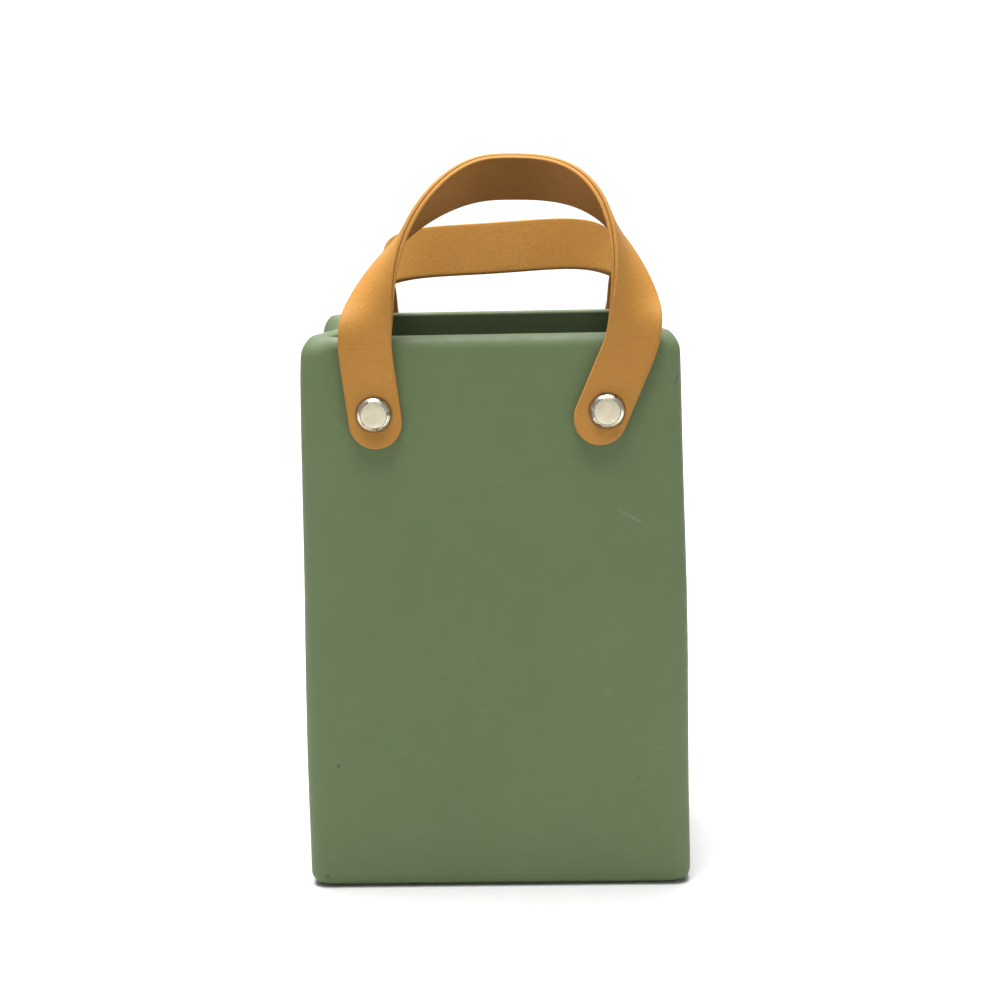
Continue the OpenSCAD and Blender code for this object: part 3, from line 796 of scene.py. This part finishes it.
def build_stud(face_name, side_name):
    base = STRAP_T - CAP_SINK
    shoulder = base + CAP_SIDE_T
    top = base + CAP_T
    profile = [
        (BORE_R, BARREL_LOW),
        (BARREL_R, BARREL_LOW),
        (BARREL_R, base - CAP_SOFT),
        (CAP_R - 0.1 * MM, base),
        (CAP_R, base + CAP_SOFT),
        (CAP_R, shoulder - CAP_SOFT),
        (CAP_R - 0.03 * MM, shoulder),
        (CAP_R - 0.1 * MM, shoulder + CAP_SOFT),
        (BEVEL_TOP_R, top - CAP_SOFT),
        (BEVEL_TOP_R - 0.1 * MM, top - 0.03 * MM),
        (RING_OUT_R, top - RING_DEEP),
        (RING_IN_R, top - RING_DEEP),
        (RING_IN_R - 0.06 * MM, top - DISC_RISE),
        (DISC_R, top),
        (BARREL_R, top + DISC_RISE),
    ]
    # Polished up to the bevel's top, tarnished in the ring, and satin on the disc.
    bands = [0] * 9 + [2] * 3 + [1] * 3
    obj = lathe(f"{face_name}_{side_name}_stud_cap", profile, [POLISHED, SATIN, TARNISH], bands)
    obj.data.transform(seat_frame(FACES[face_name], SIDES[side_name]))
    obj.data.update()
    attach(obj, "vase")
    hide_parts(f"{face_name}_{side_name}_stud")


def dress_cad_node(node, material):
    """A CAD node that is kept: a better material, and softened edges."""
    obj = frame["nodes"][node]
    obj.data.materials.clear()
    obj.data.materials.append(material)
    soften = obj.modifiers.new("edge_softening", "BEVEL")
    soften.width = SOFT_EDGE
    soften.segments = 2
    soften.limit_method = "ANGLE"


build_body()
for handle in FACES:
    build_handle(handle)
    for side in SIDES:
        build_stud(handle, side)
        dress_cad_node(f"{handle}_{side}_screw", STEEL)
        dress_cad_node(f"{handle}_{side}_washer", RUBBER)


# ---- studio ----
# Here lengths are in metres and angles in degrees, unless a name says otherwise.
FLOOR_HALF_W, FLOOR_FRONT, FLOOR_REAR = 2.2, -3.0, 1.6
BACKDROP_R, BACKDROP_TOP, BACKDROP_STEPS = 0.8, 2.4, 12
WORLD_COLOR, WORLD_STRENGTH = (1.0, 0.99, 0.97, 1), 0.23
VASE_MIDDLE = (0, 0, 0.11)
CAMERA_AT = Vector((18.9, -637, 240.4)) * MM
PITCH, YAW, ROLL = 11.2, -1.59, -1.18
SENSOR_MM, LENS_MM = 36, 73.55


def build_floor():
    """A pale floor that curves up into a backdrop, far behind."""
    line = [(FLOOR_FRONT, 0.0), (FLOOR_REAR, 0.0)]
    for a in np.linspace(0, math.pi / 2, BACKDROP_STEPS + 1)[1:]:
        line.append((FLOOR_REAR + BACKDROP_R * math.sin(a), BACKDROP_R * (1 - math.cos(a))))
    line.append((FLOOR_REAR + BACKDROP_R, BACKDROP_TOP))
    verts = [(x, y, z) for y, z in line for x in (-FLOOR_HALF_W, FLOOR_HALF_W)]
    s = Shader("floor")
    tone = s.blend(s.span(s.noise(6, 2), 0.3, 0.7), FLOOR_TONE, FLOOR_PATCH)
    floor = mesh_object("floor", verts, grid_faces(len(line), 2, closed=False), [s.finish(tone, 0.9)])


def area_light(name, location, target, size, power, color=(1, 1, 1)):
    light = bpy.data.lights.new(name, "AREA")
    light.shape = "RECTANGLE"
    light.size, light.size_y = size
    light.energy = power
    light.color = color
    obj = bpy.data.objects.new(name, light)
    obj.location = location
    obj.rotation_euler = (Vector(target) - Vector(location)).to_track_quat("-Z", "Y").to_euler()
    bpy.context.scene.collection.objects.link(obj)


def build_lights():
    world = bpy.data.worlds.new("studio")
    world.use_nodes = True
    background = world.node_tree.nodes["Background"]
    background.inputs["Color"].default_value = WORLD_COLOR
    background.inputs["Strength"].default_value = WORLD_STRENGTH
    bpy.context.scene.world = world
    area_light("key", (-0.55, -0.95, 0.95), VASE_MIDDLE, (0.9, 0.9), 0.4, (1.0, 0.985, 0.95))
    area_light("fill", (0.9, -0.8, 0.45), VASE_MIDDLE, (0.9, 0.9), 0.8, (0.97, 0.99, 1.0))
    area_light("top", (-0.1, -0.02, 1.35), VASE_MIDDLE, (1.1, 0.8), 42)
    area_light("backdrop", (0.0, 1.1, 2.2), (0, 2.3, 0.5), (2.0, 0.6), 60)


def build_camera():
    """The photograph's view: a little above the rim, from nearly straight ahead, rolled very slightly."""
    pitch, yaw, roll = (math.radians(a) for a in (PITCH, YAW, ROLL))
    ahead = Vector((math.sin(yaw) * math.cos(pitch), math.cos(yaw) * math.cos(pitch), -math.sin(pitch)))
    level = Vector((math.cos(yaw), -math.sin(yaw), 0))
    rise = level.cross(ahead)
    right = math.cos(roll) * level + math.sin(roll) * rise
    above = -math.sin(roll) * level + math.cos(roll) * rise
    data = bpy.data.cameras.new("camera")
    data.sensor_width = SENSOR_MM
    data.lens = LENS_MM
    data.clip_start, data.clip_end = 0.01, 20
    obj = bpy.data.objects.new("camera", data)
    turn = Matrix((right, above, -ahead)).transposed().to_4x4()
    obj.matrix_world = Matrix.Translation(CAMERA_AT) @ turn
    bpy.context.scene.collection.objects.link(obj)
    bpy.context.scene.camera = obj


build_floor()
build_lights()
build_camera()
bpy.context.scene.view_settings.view_transform = "Standard"
